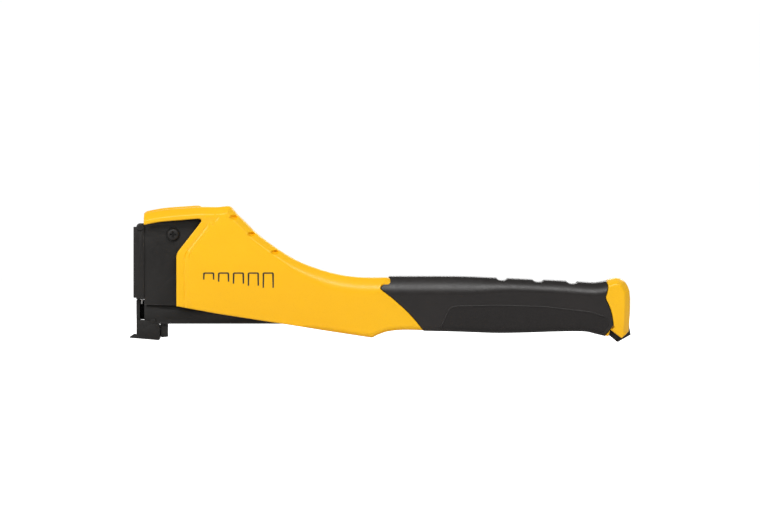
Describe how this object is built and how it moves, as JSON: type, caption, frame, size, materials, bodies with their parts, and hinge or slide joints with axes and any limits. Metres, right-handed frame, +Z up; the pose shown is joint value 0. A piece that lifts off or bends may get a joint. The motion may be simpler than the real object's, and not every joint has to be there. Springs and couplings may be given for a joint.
{
  "type": "hammer tacker",
  "caption": "Hammer tacker with a shell handle, rubber grip and a rear-loading staple magazine that pivots near the butt, so that a swing drives a staple through the nose.",
  "frame": {"origin": "middle of the overall box on the level of the tool's lowest point, the tip of the rear catch", "axes": "+X from the nose to the butt, +Z up towards the roof of the head, +Y to the tool's right side (its thickness)"},
  "size_m": [0.3651, 0.033, 0.0995],
  "materials": {
    "yellow_plastic": "satin moulded glass-filled nylon with a fine grain",
    "black_rubber": "satin over-moulded rubber",
    "black_steel": "black powder coat, slight texture",
    "spring_steel": "oiled spring steel",
    "black_plastic": "matt moulded nylon",
    "zinc_plate": "bright zinc plate",
    "bumper_rubber": "matt rubber",
    "nylon": "natural acetal"
  },
  "bodies": {
    "handle": {"housing_left": "yellow_plastic", "housing_right": "yellow_plastic", "grip_left": "black_rubber", "grip_right": "black_rubber", "head_plate_left": "black_steel", "head_plate_right": "black_steel", "striker_block": "black_steel", "driver_blade": "spring_steel", "driver_rivets": "zinc_plate", "head_screw": "black_steel", "head_nut": "zinc_plate", "frame_pins": "zinc_plate", "housing_screws": "zinc_plate", "cover_pin": "black_steel", "spring_abutment": "nylon", "return_spring": "spring_steel", "stroke_bumper": "bumper_rubber", "rest_stop": "bumper_rubber", "pivot_bush_left": "nylon", "pivot_bush_right": "nylon"},
    "magazine": {"magazine_channel": "black_steel", "staple_rail": "zinc_plate", "nose_foot": "black_steel", "nose_plate": "black_steel", "heel_block": "black_steel", "foot_rivets": "black_steel", "pivot_studs": "zinc_plate", "catch_bar": "zinc_plate", "spring_seat": "nylon"},
    "front_cover": {"front_cover": "black_steel"},
    "follower": {"follower_block": "black_plastic", "pusher_rod": "zinc_plate", "pusher_spring": "spring_steel", "latch_pin": "zinc_plate", "latch_spring": "spring_steel"},
    "latch": {"latch_handle": "black_plastic"},
    "pusher": {"pusher": "zinc_plate"}
  },
  "joints": [
    {"name": "magazine_pivot", "type": "hinge", "parent": "handle", "child": "magazine", "pos_m": [0.1595, 0, 0.0196], "axis": [0, 1, 0], "range_deg": [0, 4.35], "stiffness_Nm_per_rad": 25, "springref_deg": -3.44, "deforming": ["return_spring"]},
    {"name": "front_cover_hinge", "type": "hinge", "parent": "handle", "child": "front_cover", "pos_m": [-0.1746, 0, 0.0835], "axis": [0, 1, 0], "range_deg": [0, 85]},
    {"name": "follower_slide", "type": "slide", "parent": "magazine", "child": "follower", "axis": [1, 0, 0], "range_m": [0, 0.22]},
    {"name": "latch_hinge", "type": "hinge", "parent": "follower", "child": "latch", "pos_m": [0.172, 0, 0.02], "axis": [0, 1, 0], "range_deg": [-12, 0], "stiffness_Nm_per_rad": 0.4, "springref_deg": 14.32, "deforming": ["latch_spring"]},
    {"name": "pusher_slide", "type": "slide", "parent": "follower", "child": "pusher", "axis": [1, 0, 0], "range_m": [0, 0.17], "stiffness_N_per_m": 40, "springref_m": -0.1, "deforming": ["pusher_spring"]}
  ]
}
